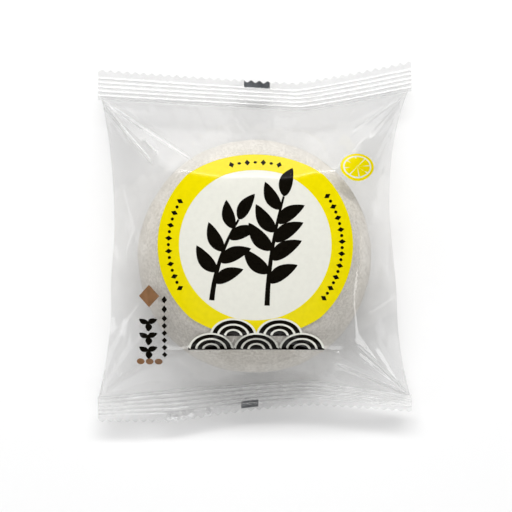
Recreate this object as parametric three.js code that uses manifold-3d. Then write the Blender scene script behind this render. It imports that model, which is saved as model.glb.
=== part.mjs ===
// A soft round rice cake sealed in a clear film pack, which lies on its back seal.
// Millimetres, +Z up, +Y towards the upper end seal. The origin is on the table below the pack's middle.
// The pack is one closed solid, filled by the cake and the air round it.
import * as THREE from 'three';
import { mergeVertices } from 'three/addons/utils/BufferGeometryUtils.js';
import Module from 'manifold-3d';

// Rice cake: widest at its waist, domed above it and cut flat by the table below it
const CAKE = { x: 0.1, y: -4.3, radius: 34, waist: 11, dome: 15.8, belly: 16, fullness: 2 };
const FILM_GAP = 0.3;

// Long sides of the pack: a corner's distance from the middle, how far the side draws in halfway
// along, how squarely it does so above and below, and the low bulge where the cake pushes it out
const SIDES = {
  left: { corner: -45.4, drawnIn: 5.3, upperPower: 2.2, lowerPower: 2.2, bulge: 0.8, spread: 9 },
  right: { corner: 45.4, drawnIn: 7.0, upperPower: 3.0, lowerPower: 1.8, bulge: 1.5, spread: 14 },
};
const SIDE_LENGTH = 46;
const SIDE_BULGE_Y = -10.6;
const SIDE_FOLD_HEIGHT = 13.2;

// End seals in plan, each between its cut edge and the line where the film leaves it. Both lines come
// nearest the middle of the pack at x, run outward by rise over reach to either side, then stay level.
// The cut edge lies lower than the film by its drop at the left and right corner, or higher if below 0.
const ENDS = {
  top: {
    outward: 1,
    drop: { left: 1, right: 0.8 },
    cut: {
      x: 11.5, y: 45.9,
      left: { rise: 3.8, reach: 56.5, power: 1.05 },
      right: { rise: 6.2, reach: 33.5, power: 1.12 },
    },
    film: {
      x: 13.5, y: 38.4,
      left: { rise: 3.2, reach: 58.5, power: 1 },
      right: { rise: 5.6, reach: 31.5, power: 1.15 },
    },
  },
  bottom: {
    outward: -1,
    drop: { left: 1.5, right: -0.5 },
    cut: {
      x: 16.8, y: -47.1,
      left: { rise: 4.8, reach: 40, power: 1.3 },
      right: { rise: 1.8, reach: 28, power: 1.2 },
    },
    film: {
      x: 15.5, y: -40.4,
      left: { rise: 4.7, reach: 60, power: 1.2 },
      right: { rise: 4.1, reach: 29.5, power: 1.05 },
    },
  },
};
const CORNER_X = 45;

// End seals: crimped bands that the taut film holds clear of the table
const SEAL = { depth: 8.4, height: 5.8, cornerRise: 1, thickness: 0.6 };
const RIB = { count: 5, relief: 0.5 };
const LIP = { width: 1.8, toothPitch: 2.4, toothDepth: 1.1 };

// Upper film: a shallow crown over the cake, then flat facets down to the outline
const CROWN = { height: 27.2, fall: 3.4, reach: 32 };
const SHOULDER = {
  sides: 28.5,
  top: { radius: 23, corners: 6, power: 6 },
  bottom: { radius: 22.4, corners: 10, power: 5 },
};

// Round patch of film that the cake presses on the table
const CONTACT_RADIUS = 24;

// Each corner's fold fans out from the corner of the seal, over this arc of the shoulder in degrees
const FOLD_FANS = [
  { corner: 'topRight', from: 41, to: 50 },
  { corner: 'topLeft', from: 124, to: 137 },
  { corner: 'bottomLeft', from: 223, to: 232 },
  { corner: 'bottomRight', from: 308, to: 320 },
];

// Back seal: a fin of film folded flat against the back, from one end of the pack to the other
const FIN = { x: -0.5, width: 12, thickness: 0.6, cover: 1.6 };

// Steps of the mesh
const STEPS = { end: 26, side: 22, fan: 3, crown: 5, facet: 5, under: 4, sealColumns: 24 };

const FILM_COLOUR = 0xdcdcd8;

const lerp = (a, b, t) => a + (b - a) * t;
const radians = THREE.MathUtils.degToRad;

// One long side's x at height y up the pack
function sideX(side, y) {
  const power = y > 0 ? side.upperPower : side.lowerPower;
  const taper = 1 - Math.min(Math.abs(y / SIDE_LENGTH), 1) ** power;
  const bulge = side.bulge * Math.exp(-(((y - SIDE_BULGE_Y) / side.spread) ** 2));
  return side.corner - Math.sign(side.corner) * (side.drawnIn * taper - bulge);
}

// The y of one of an end's two lines
function lineY(line, outward, x) {
  const { rise, reach, power } = x > line.x ? line.right : line.left;
  return line.y + outward * rise * Math.min(Math.abs(x - line.x) / reach, 1) ** power;
}

const cutEdgeY = (end, x) => lineY(end.cut, end.outward, x);
const sealLineY = (end, x) => lineY(end.film, end.outward, x);
const sealHeight = (x) => SEAL.height + SEAL.cornerRise * (x / CORNER_X) ** 2;

// A point of a seal's middle plane, at a share of the way from its cut edge to the film
function sealPoint(end, x, share) {
  const y = lerp(cutEdgeY(end, x), sealLineY(end, x), share);
  const drop = lerp(end.drop.left, end.drop.right, 0.5 + x / CORNER_X / 2);
  return new THREE.Vector3(x, y, sealHeight(x) - drop * (1 - share));
}

function corner(side, end) {
  const y = sealLineY(end, side.corner);
  const x = sideX(side, y);
  return new THREE.Vector3(x, y, sealHeight(x));
}

const CORNERS = {
  topRight: corner(SIDES.right, ENDS.top),
  topLeft: corner(SIDES.left, ENDS.top),
  bottomLeft: corner(SIDES.left, ENDS.bottom),
  bottomRight: corner(SIDES.right, ENDS.bottom),
};

// Points of the film's outline along one end, where the film leaves its seal
function alongEnd(end, from, to, t) {
  const x = lerp(from.x, to.x, t);
  return new THREE.Vector3(x, sealLineY(end, x), sealHeight(x));
}

// Points of the outline along one side, where the film is creased between front and back
function alongSide(side, from, to, t) {
  const y = lerp(from.y, to.y, t);
  const sag = (lerp(from.z, to.z, 0.5) - SIDE_FOLD_HEIGHT) * Math.sin(Math.PI * t);
  return new THREE.Vector3(sideX(side, y), y, lerp(from.z, to.z, t) - sag);
}

// The rays of the film: each joins a point of the outline to the cake's middle at an angle
function filmRays() {
  const rays = [];
  const [topRight, topLeft, bottomLeft, bottomRight] = FOLD_FANS;
  const runs = [
    { fan: topRight, next: topLeft, steps: STEPS.end, along: alongEnd, edge: ENDS.top },
    { fan: topLeft, next: bottomLeft, steps: STEPS.side, along: alongSide, edge: SIDES.left },
    { fan: bottomLeft, next: bottomRight, steps: STEPS.end, along: alongEnd, edge: ENDS.bottom },
    { fan: bottomRight, next: topRight, steps: STEPS.side, along: alongSide, edge: SIDES.right },
  ];
  for (const { fan, next, steps, along, edge } of runs) {
    for (let i = 0; i < STEPS.fan; i += 1) {
      const angle = radians(lerp(fan.from, fan.to, i / STEPS.fan));
      rays.push({ angle, edge: CORNERS[fan.corner].clone() });
    }
    const arc = (next.from - fan.to + 360) % 360;
    for (let i = 0; i < steps; i += 1) {
      const t = i / steps;
      const angle = radians(fan.to + arc * t);
      rays.push({ angle, edge: along(edge, CORNERS[fan.corner], CORNERS[next.corner], t) });
    }
  }
  return rays;
}

// Keeps a point of the film outside the cake: above its dome, or below its belly but over the table
function clearOfCake(point, upper) {
  const reach = Math.hypot(point.x - CAKE.x, point.y - CAKE.y) / CAKE.radius;
  if (reach >= 1) {
    return point;
  }
  const curve = (1 - reach ** CAKE.fullness) ** (1 / CAKE.fullness);
  const dome = CAKE.waist + CAKE.dome * curve + FILM_GAP;
  const belly = Math.max(0, CAKE.waist - CAKE.belly * curve - FILM_GAP);
  return point.setZ(upper ? Math.max(point.z, dome) : Math.min(point.z, belly));
}

const crownHeight = (radius) => CROWN.height - CROWN.fall * (radius / CROWN.reach) ** 2;

// How far from the cake's middle the crown ends and the facets start
function shoulderRadius(angle) {
  const toSide = Math.cos(angle) ** 2;
  const { radius, corners, power } = Math.sin(angle) > 0 ? SHOULDER.top : SHOULDER.bottom;
  return lerp(radius, SHOULDER.sides, toSide) + corners * Math.abs(Math.sin(2 * angle)) ** power;
}

const polar = (angle, radius, z) =>
  new THREE.Vector3(CAKE.x + radius * Math.cos(angle), CAKE.y + radius * Math.sin(angle), z);

// A ring of the upper film: first the facets from the outline in, then the crown
function upperRing(rays, step) {
  return rays.map(({ angle, edge }) => {
    const radius = shoulderRadius(angle);
    if (step >= STEPS.facet) {
      const inner = radius * (1 - (step - STEPS.facet) / STEPS.crown);
      return polar(angle, inner, crownHeight(inner));
    }
    const start = edge.clone().setZ(edge.z + SEAL.thickness / 2);
    const shoulder = polar(angle, radius, crownHeight(radius));
    return clearOfCake(start.lerp(shoulder, step / STEPS.facet), true);
  });
}

// A ring of the lower film: facets from the outline in to the patch that lies on the table
function lowerRing(rays, step) {
  return rays.map(({ angle, edge }) => {
    const start = edge.clone().setZ(edge.z - SEAL.thickness / 2);
    return clearOfCake(start.lerp(polar(angle, CONTACT_RADIUS, 0), step / STEPS.under), false);
  });
}

function indexedGeometry(positions, indices) {
  const geometry = new THREE.BufferGeometry();
  geometry.setAttribute('position', new THREE.Float32BufferAttribute(positions, 3));
  geometry.setIndex(indices);
  return geometry;
}

// A closed geometry from rings of points that run round it, with a centre point at each end
function loft(rings, first, last) {
  const count = rings[0].length;
  const positions = [first, ...rings.flat(), last].flatMap((p) => [p.x, p.y, p.z]);
  const at = (ring, i) => 1 + ring * count + (i % count);
  const indices = [];
  for (let i = 0; i < count; i += 1) {
    indices.push(0, at(0, i), at(0, i + 1));
    for (let ring = 0; ring + 1 < rings.length; ring += 1) {
      indices.push(at(ring, i), at(ring + 1, i), at(ring + 1, i + 1));
      indices.push(at(ring, i), at(ring + 1, i + 1), at(ring, i + 1));
    }
    indices.push(at(rings.length - 1, i), 1 + rings.length * count, at(rings.length - 1, i + 1));
  }
  return indexedGeometry(positions, indices);
}

// The film's body, from the middle of its crown over the outline to the middle of its back
function bodyGeometry() {
  const rays = filmRays();
  const rings = [];
  for (let step = STEPS.facet + STEPS.crown - 1; step >= 0; step -= 1) {
    rings.push(upperRing(rays, step));
  }
  for (let step = 0; step <= STEPS.under; step += 1) {
    rings.push(lowerRing(rays, step));
  }
  return loft(rings, polar(0, 0, CROWN.height), polar(0, 0, 0));
}

// A closed plate over a grid of columns and rows, where place(i, j) gives its upper and lower points.
// Seen from above, its columns turn anticlockwise into its rows.
function plateGeometry(columns, rows, place) {
  const positions = [];
  const indices = [];
  const quad = (a, b, c, d) => indices.push(a, b, c, a, c, d);
  const upper = (i, j) => 2 * (i * (rows + 1) + j);
  const lower = (i, j) => upper(i, j) + 1;
  for (let i = 0; i <= columns; i += 1) {
    for (let j = 0; j <= rows; j += 1) {
      const { point, above, below } = place(i, j);
      positions.push(point.x, point.y, point.z + above, point.x, point.y, point.z - below);
    }
  }
  for (let i = 0; i < columns; i += 1) {
    for (let j = 0; j < rows; j += 1) {
      quad(upper(i, j), upper(i + 1, j), upper(i + 1, j + 1), upper(i, j + 1));
      quad(lower(i, j), lower(i, j + 1), lower(i + 1, j + 1), lower(i + 1, j));
    }
    quad(lower(i, 0), lower(i + 1, 0), upper(i + 1, 0), upper(i, 0));
    quad(upper(i, rows), upper(i + 1, rows), lower(i + 1, rows), lower(i, rows));
  }
  for (let j = 0; j < rows; j += 1) {
    quad(upper(0, j), upper(0, j + 1), lower(0, j + 1), lower(0, j));
    quad(lower(columns, j), lower(columns, j + 1), upper(columns, j + 1), upper(columns, j));
  }
  return indexedGeometry(positions, indices);
}

// A seal's x at a share of its length, taken so that its columns and rows turn the same way at both ends
function sealX(end, t) {
  const across = end.outward > 0 ? 1 - t : t;
  return lerp(SIDES.left.corner, SIDES.right.corner, across);
}

// A plate of the seal, between two shares of its depth in from the cut edge
function sealPlate(end, columns, rows, shareAt, waveAt) {
  return plateGeometry(columns, rows, (i, j) => {
    const point = sealPoint(end, sealX(end, i / columns), shareAt(i, j));
    point.z += waveAt(j);
    return { point, above: SEAL.thickness / 2, below: SEAL.thickness / 2 };
  });
}

const LIP_SHARE = LIP.width / SEAL.depth;
const RIB_SHARE = (1 - LIP_SHARE) / RIB.count;

// The crimped band: ribs run along it, two rows to a rib, and its last row is buried in the body
function ribbedGeometry(end) {
  const rows = 2 * RIB.count;
  const share = (i, j) => LIP_SHARE + (RIB_SHARE * j) / 2;
  const wave = (j) => (j > rows ? 0 : (RIB.relief / 2) * (j % 2 ? 1 : -1));
  return sealPlate(end, STEPS.sealColumns, rows + 1, share, wave);
}

// The plain lip outside the ribs, cut in a zigzag
function toothedGeometry(end) {
  const teeth = Math.round((SIDES.right.corner - SIDES.left.corner) / LIP.toothPitch);
  const halfTooth = LIP.toothDepth / 2 / SEAL.depth;
  const cut = (i) => (i % 2 ? -halfTooth : halfTooth);
  const share = (i, j) => (j === 0 ? cut(i) : LIP_SHARE + RIB_SHARE / 4);
  return sealPlate(end, 2 * teeth, 1, share, () => 0);
}

// The folded fin, flush with the table under the cake and one film's depth below the back elsewhere
function finGeometry() {
  const profile = new THREE.Path();
  const reach = Math.sqrt(CONTACT_RADIUS ** 2 - (FIN.width / 2) ** 2);
  const fromCut = LIP.toothDepth / SEAL.depth;
  const [bottom, bottomCut] = [1, fromCut].map((share) => sealPoint(ENDS.bottom, FIN.x, share));
  const [top, topCut] = [1, fromCut].map((share) => sealPoint(ENDS.top, FIN.x, share));
  profile.moveTo(bottomCut.y, bottomCut.z);
  profile.lineTo(bottom.y, bottom.z);
  profile.lineTo(CAKE.y - reach, FIN.thickness);
  profile.lineTo(CAKE.y + reach, FIN.thickness);
  profile.lineTo(top.y, top.z);
  profile.lineTo(topCut.y, topCut.z);
  const points = profile.getPoints();
  return plateGeometry(1, points.length - 1, (i, j) => {
    const { x: y, y: z } = points[j];
    const ends = j <= 1 || j >= points.length - 2;
    const cover = ends ? 0 : FIN.cover;
    const point = new THREE.Vector3(FIN.x + (i - 0.5) * FIN.width, y, z);
    return { point, above: cover, below: FIN.thickness };
  });
}

const wasm = await Module();
wasm.setup();

function solidOf(geometry) {
  geometry.deleteAttribute('normal');
  geometry.deleteAttribute('uv');
  const merged = mergeVertices(geometry, 1e-4);
  const indices = merged.getIndex().array;
  const triangles = [];
  for (let i = 0; i < indices.length; i += 3) {
    const [a, b, c] = indices.slice(i, i + 3);
    if (a !== b && b !== c && c !== a) {
      triangles.push(a, b, c);
    }
  }
  return new wasm.Manifold(new wasm.Mesh({
    numProp: 3,
    vertProperties: new Float32Array(merged.getAttribute('position').array),
    triVerts: new Uint32Array(triangles),
  }));
}

function geometryOf(solid) {
  const mesh = solid.getMesh();
  const geometry = new THREE.BufferGeometry();
  geometry.setAttribute('position', new THREE.Float32BufferAttribute(mesh.vertProperties, 3));
  geometry.setIndex([...mesh.triVerts]);
  geometry.computeVertexNormals();
  return geometry;
}

function packGeometry() {
  let pack = solidOf(bodyGeometry());
  for (const end of [ENDS.top, ENDS.bottom]) {
    pack = pack.add(solidOf(ribbedGeometry(end))).add(solidOf(toothedGeometry(end)));
  }
  return geometryOf(pack.add(solidOf(finGeometry())));
}

const material = new THREE.MeshStandardMaterial({ color: FILM_COLOUR, roughness: 0.2, metalness: 0 });
const pack = new THREE.Mesh(packGeometry(), material);
pack.name = 'pack';

const group = new THREE.Group();
group.add(pack);

export default group;
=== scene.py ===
import math
import random
from collections import namedtuple

import bmesh
import bpy
import numpy as np
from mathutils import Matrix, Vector, geometry, noise
from mathutils.bvhtree import BVHTree


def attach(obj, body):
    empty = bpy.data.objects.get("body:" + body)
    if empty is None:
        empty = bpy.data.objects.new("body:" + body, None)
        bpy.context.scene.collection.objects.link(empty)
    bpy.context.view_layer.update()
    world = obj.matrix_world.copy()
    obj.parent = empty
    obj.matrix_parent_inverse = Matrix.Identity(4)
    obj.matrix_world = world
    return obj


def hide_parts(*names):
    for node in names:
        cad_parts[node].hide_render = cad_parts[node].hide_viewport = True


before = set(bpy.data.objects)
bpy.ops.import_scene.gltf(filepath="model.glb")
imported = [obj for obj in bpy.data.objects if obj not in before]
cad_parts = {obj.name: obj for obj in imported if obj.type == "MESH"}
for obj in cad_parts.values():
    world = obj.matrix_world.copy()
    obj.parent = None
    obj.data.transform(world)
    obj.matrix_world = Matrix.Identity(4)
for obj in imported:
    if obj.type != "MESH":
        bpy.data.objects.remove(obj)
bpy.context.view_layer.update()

random.seed(11)
MM = 0.001
SHARP_BEND = math.radians(50)
NOISE_SHIFT = (17.3, -9.1, 3.7)

# The cake: its middle, radius, widest level, rise above it and depth below it, the power of its
# curve, which is an ellipse at 2, and the film's gap from it
CAKE_X, CAKE_Y = 0.1, -4.3
CAKE_RADIUS = 34.0
CAKE_WAIST = 11.0
CAKE_DOME = 15.8
CAKE_BELLY = 16.0
CAKE_FULLNESS = 2.0
FILM_GAP = 0.3

# The long sides: x at the corners, how far they are drawn in, the power of that curve in the upper
# and the lower half, and a bulge beside the cake. Their folds are highest in the middle.
SIDES = {
    "left": {"corner": -45.4, "drawn_in": 5.3, "upper": 2.2, "lower": 2.2, "bulge": 0.8, "spread": 9},
    "right": {"corner": 45.4, "drawn_in": 7.0, "upper": 3.0, "lower": 1.8, "bulge": 1.5, "spread": 14},
}
SIDE_HALF_LENGTH = 46.0
SIDE_BULGE_Y = -10.6
SIDE_FOLD_HEIGHT = 13.2

# The ends: how far a seal's cut edge hangs down at its left and right end, and its two lines across
# the pack. A line has its innermost point, and its rise, reach and power to the left and the right.
ENDS = {
    "top": {
        "outward": 1,
        "drop": (1.0, 0.8),
        "cut": {"x": 11.5, "y": 45.9, "left": (3.8, 56.5, 1.05), "right": (6.2, 33.5, 1.12)},
        "film": {"x": 13.5, "y": 38.4, "left": (3.2, 58.5, 1.0), "right": (5.6, 31.5, 1.15)},
    },
    "bottom": {
        "outward": -1,
        "drop": (1.5, -0.5),
        "cut": {"x": 16.8, "y": -47.1, "left": (4.8, 40.0, 1.3), "right": (1.8, 28.0, 1.2)},
        "film": {"x": 15.5, "y": -40.4, "left": (4.7, 60.0, 1.2), "right": (4.1, 29.5, 1.05)},
    },
}
CORNER_X = 45.0
SEAL_DEPTH, SEAL_HEIGHT, SEAL_CORNER_RISE = 8.4, 5.8, 1.0

# Points of the film's outline that are further from the middle than this are on a seal
SEAL_EDGE_Y = 37.5

# The angles about the cake over which the folds of each corner fan out
FOLD_FANS = {
    "top_right": (41, 50), "top_left": (124, 137),
    "bottom_left": (223, 232), "bottom_right": (308, 320),
}

# The crown of film over the cake, and the shoulder where it bends down: its radius at the sides,
# and at the top and the bottom its radius, its gain towards the corners and that gain's power
CROWN_HEIGHT, CROWN_FALL, CROWN_REACH = 27.2, 3.4, 32.0
SHOULDER_SIDES = 28.5
SHOULDER_TOP, SHOULDER_BOTTOM = (23.0, 6.0, 6.0), (22.4, 10.0, 5.0)

# The patch of film on the table, and the least height of film above it
CONTACT_RADIUS = 24.0
FILM_LIFT = 0.18

# Rays of the film along an end, along a side and in a fan of folds, and its rings from the outline
# to the shoulder, over the crown, under the cake and across the patch on the table
END_RAYS, SIDE_RAYS, FAN_RAYS = 180, 140, 22
FACET_RINGS, CROWN_RINGS, UNDER_RINGS, PATCH_RINGS = 64, 30, 30, 5


# Small helpers

def lerp(a, b, t):
    return a + (b - a) * t


def smoothstep(low, high, value):
    t = np.clip((value - low) / (high - low), 0.0, 1.0)
    return t * t * (3 - 2 * t)


def make_mesh(name, points, faces):
    """A new object from points in millimetres."""
    mesh = bpy.data.meshes.new(name)
    mesh.from_pydata((np.asarray(points, dtype=float) * MM).tolist(), [], faces)
    mesh.validate()
    mesh.shade_smooth()
    mesh.set_sharp_from_angle(angle=SHARP_BEND)
    piece = bpy.data.objects.new(name, mesh)
    bpy.context.scene.collection.objects.link(piece)
    return piece


def store_haze(piece, values):
    """Gives every point of a piece the value that film_material reads as haze."""
    piece.data.attributes.new("haze", "FLOAT", "POINT").data.foreach_set("value", values)


def finish_piece(piece, material):
    piece.data.materials.append(material)
    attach(piece, "root")
    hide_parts("pack")


def grid_faces(rows, columns):
    """The quads of a grid whose points are stored row after row."""
    faces = []
    for i in range(rows):
        for j in range(columns):
            a = i * (columns + 1) + j
            faces.append((a, a + columns + 1, a + columns + 2, a + 1))
    return faces


def skin_faces(rings, around, base, first, last):
    """The faces of a closed skin: rings of points from base on, between a first and a last point."""
    faces = []
    end = base + (rings - 1) * around
    for i in range(around):
        j = (i + 1) % around
        faces.append((first, base + i, base + j))
        faces.append((end + i, last, end + j))
        for k in range(rings - 1):
            a, b = base + k * around, base + (k + 1) * around
            faces.append((a + i, b + i, b + j, a + j))
    return faces


def value_noise(x, y, scale, seed):
    """Smooth noise from -1 to 1 at a point of the plan, with features of about scale millimetres."""
    shift_x, shift_y, shift_z = NOISE_SHIFT
    return noise.noise(Vector((x / scale + shift_x * seed, y / scale + shift_y * seed, shift_z * seed)))


def noise_over(x, y, scale, seed):
    """The same noise at every point of two arrays."""
    values = [value_noise(a, b, scale, seed) for a, b in zip(x.ravel(), y.ravel())]
    return np.array(values).reshape(x.shape)


# Outline of the film

def side_x(side, y):
    s = SIDES[side]
    power = np.where(np.asarray(y) > 0, s["upper"], s["lower"])
    taper = 1 - np.minimum(np.abs(y / SIDE_HALF_LENGTH), 1) ** power
    bulge = s["bulge"] * np.exp(-(((y - SIDE_BULGE_Y) / s["spread"]) ** 2))
    return s["corner"] - math.copysign(1, s["corner"]) * (s["drawn_in"] * taper - bulge)


def line_y(end, line, x):
    """The y of an end's cut edge, or of the line where the film leaves its seal."""
    shape = ENDS[end][line]
    rise, reach, power = shape["right"] if x > shape["x"] else shape["left"]
    return shape["y"] + ENDS[end]["outward"] * rise * min(abs(x - shape["x"]) / reach, 1) ** power


def seal_height(x):
    return SEAL_HEIGHT + SEAL_CORNER_RISE * (x / CORNER_X) ** 2


def seal_point(end, x, share):
    """A point of a seal's middle plane, at a share of the way from its cut edge to the film."""
    y = lerp(line_y(end, "cut", x), line_y(end, "film", x), share)
    drop = lerp(*ENDS[end]["drop"], 0.5 + x / CORNER_X / 2)
    return np.array([x, y, seal_height(x) - drop * (1 - share)])


def corner_point(name):
    end, side = name.split("_")
    y = line_y(end, "film", SIDES[side]["corner"])
    x = float(side_x(side, y))
    return np.array([x, y, seal_height(x)])


CORNERS = {name: corner_point(name) for name in FOLD_FANS}


def along_end(end, start, stop, t):
    x = lerp(start[0], stop[0], t)
    return np.array([x, line_y(end, "film", x), seal_height(x)])


def along_side(side, start, stop, t):
    y = lerp(start[1], stop[1], t)
    sag = (lerp(start[2], stop[2], 0.5) - SIDE_FOLD_HEIGHT) * math.sin(math.pi * t)
    return np.array([float(side_x(side, y)), y, lerp(start[2], stop[2], t) - sag])


def film_rays():
    """The angle about the cake and the outline point of every ray of the film."""
    names = list(FOLD_FANS)
    runs = [
        (along_end, "top", END_RAYS), (along_side, "left", SIDE_RAYS),
        (along_end, "bottom", END_RAYS), (along_side, "right", SIDE_RAYS),
    ]
    angles, edges = [], []
    for i, (along, where, steps) in enumerate(runs):
        here, there = names[i], names[(i + 1) % 4]
        fan_from, fan_to = FOLD_FANS[here]
        for k in range(FAN_RAYS):
            angles.append(lerp(fan_from, fan_to, k / FAN_RAYS))
            edges.append(CORNERS[here])
        arc = (FOLD_FANS[there][0] - fan_to) % 360
        for k in range(steps):
            angles.append(fan_to + arc * k / steps)
            edges.append(along(where, CORNERS[here], CORNERS[there], k / steps))
    return np.radians(angles), np.array(edges)


# Height of the film

def crown_height(radius):
    return CROWN_HEIGHT - CROWN_FALL * (radius / CROWN_REACH) ** 2


def shoulder_radius(angle):
    to_side = np.cos(angle) ** 2
    at_top = np.sin(angle) > 0
    radius, corners, power = (np.where(at_top, *pair) for pair in zip(SHOULDER_TOP, SHOULDER_BOTTOM))
    return lerp(radius, SHOULDER_SIDES, to_side) + corners * np.abs(np.sin(2 * angle)) ** power


def polar(angle, radius, z):
    """Points at angles and a radius about the cake."""
    x, y = CAKE_X + radius * np.cos(angle), CAKE_Y + radius * np.sin(angle)
    return np.stack([x, y, z + 0 * angle], axis=-1)


def plan_reach(x, y):
    """Distance from the middle of the cake, seen from above."""
    return np.hypot(x - CAKE_X, y - CAKE_Y)


def cake_curve(x, y):
    """The cake's rise at a point, as a share of its rise in the middle."""
    reach = np.minimum(plan_reach(x, y) / CAKE_RADIUS, 1)
    return (1 - reach ** CAKE_FULLNESS) ** (1 / CAKE_FULLNESS)


def least_height(x, y):
    """The least height of the upper film over the cake."""
    return CAKE_WAIST + CAKE_DOME * cake_curve(x, y) + FILM_GAP


def clear_of_cake(points, upper):
    """Moves the points of the upper or lower film that are in the cake to its surface."""
    x, y, z = np.moveaxis(points, -1, 0)
    if upper:
        limit = np.maximum(z, least_height(x, y))
    else:
        belly = CAKE_WAIST - CAKE_BELLY * cake_curve(x, y) - FILM_GAP
        limit = np.minimum(z, np.maximum(FILM_LIFT, belly))
    points[..., 2] = np.where(plan_reach(x, y) < CAKE_RADIUS, limit, z)
    return points


def distance_from_cake(points):
    """Roughly how far points of the upper film are from the cake."""
    x, y, z = np.moveaxis(points, -1, 0)
    return np.maximum(plan_reach(x, y) - CAKE_RADIUS, 0) + np.maximum(z - least_height(x, y), 0)


# A crease of the film: where it starts and ends, its height, its half-width and the share of its
# length where it fades. A sharp one has a painted highlight: a white line of haze of some spread,
# which stands in for the gleam of its crest. Its flank on the lit side is the wide one: 1 is right
# of its line, -1 left of it.
Crease = namedtuple(
    "Crease", "start end height width fade white spread lit", defaults=(0.75, 0, 0.5, 0))

LONG_CREASES = [
    Crease((-44.9, 41.6), (-17.5, 23.4), 0.30, 0.9, fade=0.9, white=2.2, spread=0.4, lit=1),
    Crease((-44.9, 41.2), (-28.7, 22.2), 0.30, 0.8, fade=0.9, white=2.0, spread=0.4, lit=1),
    Crease((-43.0, 38.5), (-31.0, 27.5), 0.25, 0.6),
    Crease((-32.0, 29.5), (-27.5, 25.0), 0.40, 1.2, white=0.6, spread=1.7),
    Crease((44.6, 43.3), (28.0, 31.4), 0.45, 0.7, fade=0.9, white=0.35),
    Crease((44.6, 42.6), (39.0, 29.0), 0.45, 0.7, fade=0.9, white=0.5),
    Crease((43.0, 42.0), (33.0, 31.0), 0.30, 0.5),
    Crease((42.0, 43.0), (25.0, 27.0), 0.30, 0.5),
    Crease((44.6, -44.0), (28.6, -28.8), 0.40, 0.6, fade=0.92, white=2.0, spread=0.35),
    Crease((44.6, -44.4), (22.8, -34.6), 0.35, 0.6, fade=0.92, white=1.6, spread=0.35),
    Crease((-43.5, -43.2), (-31.6, -34.6), 0.20, 0.8, fade=0.9, white=0.45, spread=0.6),
    Crease((-37.2, 15.0), (-33.6, 3.5), 0.4, 0.7),
    Crease((-36.5, -3.5), (-33.4, 4.5), 0.3, 0.7),
    Crease((-38.0, -25.5), (-31.5, -16.5), 0.3, 0.6),
    Crease((-41.5, -30.0), (-38.0, -40.0), 0.3, 0.6),
    Crease((39.5, -15.5), (31.5, -20.5), 0.3, 0.6),
    Crease((-6.3, 37.0), (-1.5, 30.0), 0.4, 0.6),
    Crease((-11.4, 35.0), (-11.2, 28.5), 0.25, 0.5),
]

# The form of a crease: its width at the start, the gain to its end, the width of the flank away
# from the light, the power of its slope, and the share of its length over which it rises
CREASE_WIDTH, CREASE_WIDENING, DARK_FLANK = 0.7, 0.6, 0.35
CREASE_POWER = 1.4
CREASE_UP = 0.12

# The painted highlight of a sharp crease, a white line of haze: its place on the lit flank, and
# where it is up, fades and ends
HIGHLIGHT_PLACE = 0.4
HIGHLIGHT_UP, HIGHLIGHT_FADE, HIGHLIGHT_END = 0.15, 0.9, 1.04

# The ranges of the fine creases at each corner and the short pleats at each seal
CORNER_CREASE = {
    "count": 9, "turn": (-0.42, 0.42), "length": (13, 33), "shift": (-1.5, 1.5),
    "height": (0.15, 0.42), "width": (0.9, 1.8), "fade": 0.5,
}
SEAL_PLEAT = {
    "count": 34, "x": (-40, 40), "length": (4, 13), "lean": 0.5, "turn": (-0.25, 0.25), "inward": 0.6,
    "height": (0.10, 0.30), "width": (0.7, 1.5), "fade": 0.4,
}


def fine_crease(kind, x, y, dx, dy, length):
    """A crease from a point of the plan along a direction."""
    height, width = random.uniform(*kind["height"]), random.uniform(*kind["width"])
    return Crease((x, y), (x + dx * length, y + dy * length), height, width, kind["fade"])


def corner_creases():
    """Fine straight creases that run from the corners of the pack towards the cake."""
    kind = CORNER_CREASE
    creases = []
    for corner in CORNERS.values():
        home = math.atan2(CAKE_Y - corner[1], CAKE_X - corner[0])
        for _ in range(kind["count"]):
            heading = home + random.uniform(*kind["turn"])
            length = random.uniform(*kind["length"])
            x = corner[0] + random.uniform(*kind["shift"])
            y = corner[1] + random.uniform(*kind["shift"])
            creases.append(fine_crease(kind, x, y, math.cos(heading), math.sin(heading), length))
    return creases


def seal_pleats(end):
    """Short pleats that start at a seal and fade towards the cake."""
    kind = SEAL_PLEAT
    pleats = []
    for _ in range(kind["count"]):
        x = random.uniform(*kind["x"])
        y = line_y(end, "film", x)
        length = random.uniform(*kind["length"])
        lean = Vector((CAKE_X - x, CAKE_Y - y)).normalized() * kind["lean"]
        inward = Vector((random.uniform(*kind["turn"]), -kind["inward"] * ENDS[end]["outward"]))
        way = (lean + inward).normalized()
        pleats.append(fine_crease(kind, x, y, way.x, way.y, length))
    return pleats


def crease_place(crease, x, y):
    """How far points are along a crease, as a share of its length, and how far right of its line."""
    (x0, y0), (x1, y1) = crease.start, crease.end
    length = math.hypot(x1 - x0, y1 - y0)
    dx, dy = (x1 - x0) / length, (y1 - y0) / length
    return ((x - x0) * dx + (y - y0) * dy) / length, (x - x0) * dy - (y - y0) * dx


def crease_heights(x, y, creases):
    """The summed height of sharp ridges that taper at both ends."""
    total = np.zeros_like(x)
    for c in creases:
        t, off = crease_place(c, x, y)
        flank = np.where(off * c.lit < 0, DARK_FLANK, 1.0)
        width = c.width * (CREASE_WIDTH + CREASE_WIDENING * np.clip(t, 0, 1)) * flank
        taper = smoothstep(0.0, CREASE_UP, t) * (1 - smoothstep(c.fade, 1.0, t))
        total += c.height * np.maximum(0, 1 - np.abs(off) / width) ** CREASE_POWER * taper
    return total


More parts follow.
